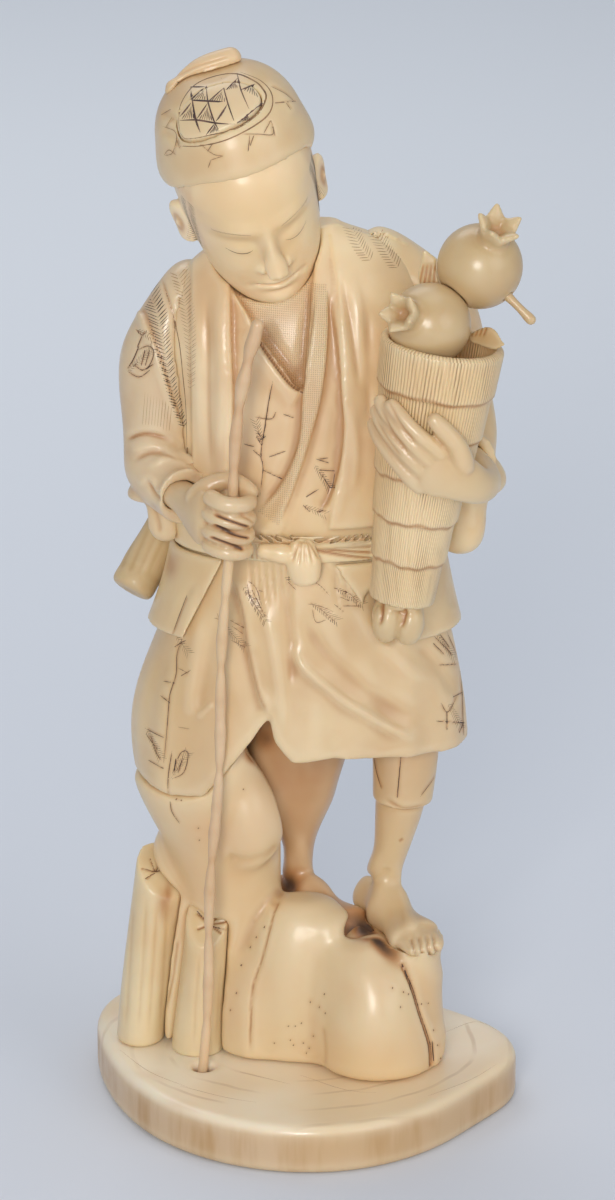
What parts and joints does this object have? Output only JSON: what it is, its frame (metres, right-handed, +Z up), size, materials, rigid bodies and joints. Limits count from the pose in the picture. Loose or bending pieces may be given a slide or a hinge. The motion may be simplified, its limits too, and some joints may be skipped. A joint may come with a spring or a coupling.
{
  "type": "okimono figure",
  "caption": "Carved okimono of a standing traveller in robe and cap, holding a loose staff and a straw basket of fruit, on a rock and an oval base plate.",
  "frame": {"origin": "centre of the underside of the base plate", "axes": "+Z up, the figure faces -Y, +X to the viewer's right"},
  "size_m": [0.0858, 0.0804, 0.214],
  "materials": {
    "ivory": "polished, stained in the cuts",
    "ivory_rock": "polished, brown in the hollows",
    "ivory_base": "polished, faint grain lines",
    "ivory_skin": "polished, warm brown stain",
    "ivory_peg": "plain",
    "ivory_staff": "polished, brown stain",
    "ivory_straw": "polished over fine cuts",
    "ivory_fruit": "polished",
    "ivory_inset": "polished, brown hatching"
  },
  "bodies": {
    "figure": {"base_plate": "ivory_base", "base_pegs": "ivory_peg", "rock": "ivory_rock", "tall_stump": "ivory_rock", "short_stump": "ivory_rock", "right_leg": "ivory_skin", "left_leg": "ivory_skin", "skirt": "ivory", "torso": "ivory", "waist_peg": "ivory_peg", "jacket_tails": "ivory", "sash": "ivory", "sash_knot": "ivory", "right_sleeve": "ivory", "left_sleeve": "ivory", "right_hand": "ivory_skin", "left_hand": "ivory_skin", "head": "ivory_skin", "cap": "ivory", "cap_inset": "ivory_inset", "cap_knot": "ivory", "basket": "ivory_straw", "basket_roots": "ivory_straw", "lower_pomegranate": "ivory_fruit", "upper_pomegranate": "ivory_fruit", "fruit_peg": "ivory_peg", "leaves": "ivory_fruit", "fruit_stem": "ivory_fruit", "back_roll": "ivory"},
    "staff": {"staff": "ivory_staff"}
  },
  "joints": [
    {"name": "staff_lift", "type": "slide", "parent": "figure", "child": "staff", "axis": [0.0515, -0.0858, 0.995], "range_m": [0, 0.13]}
  ]
}
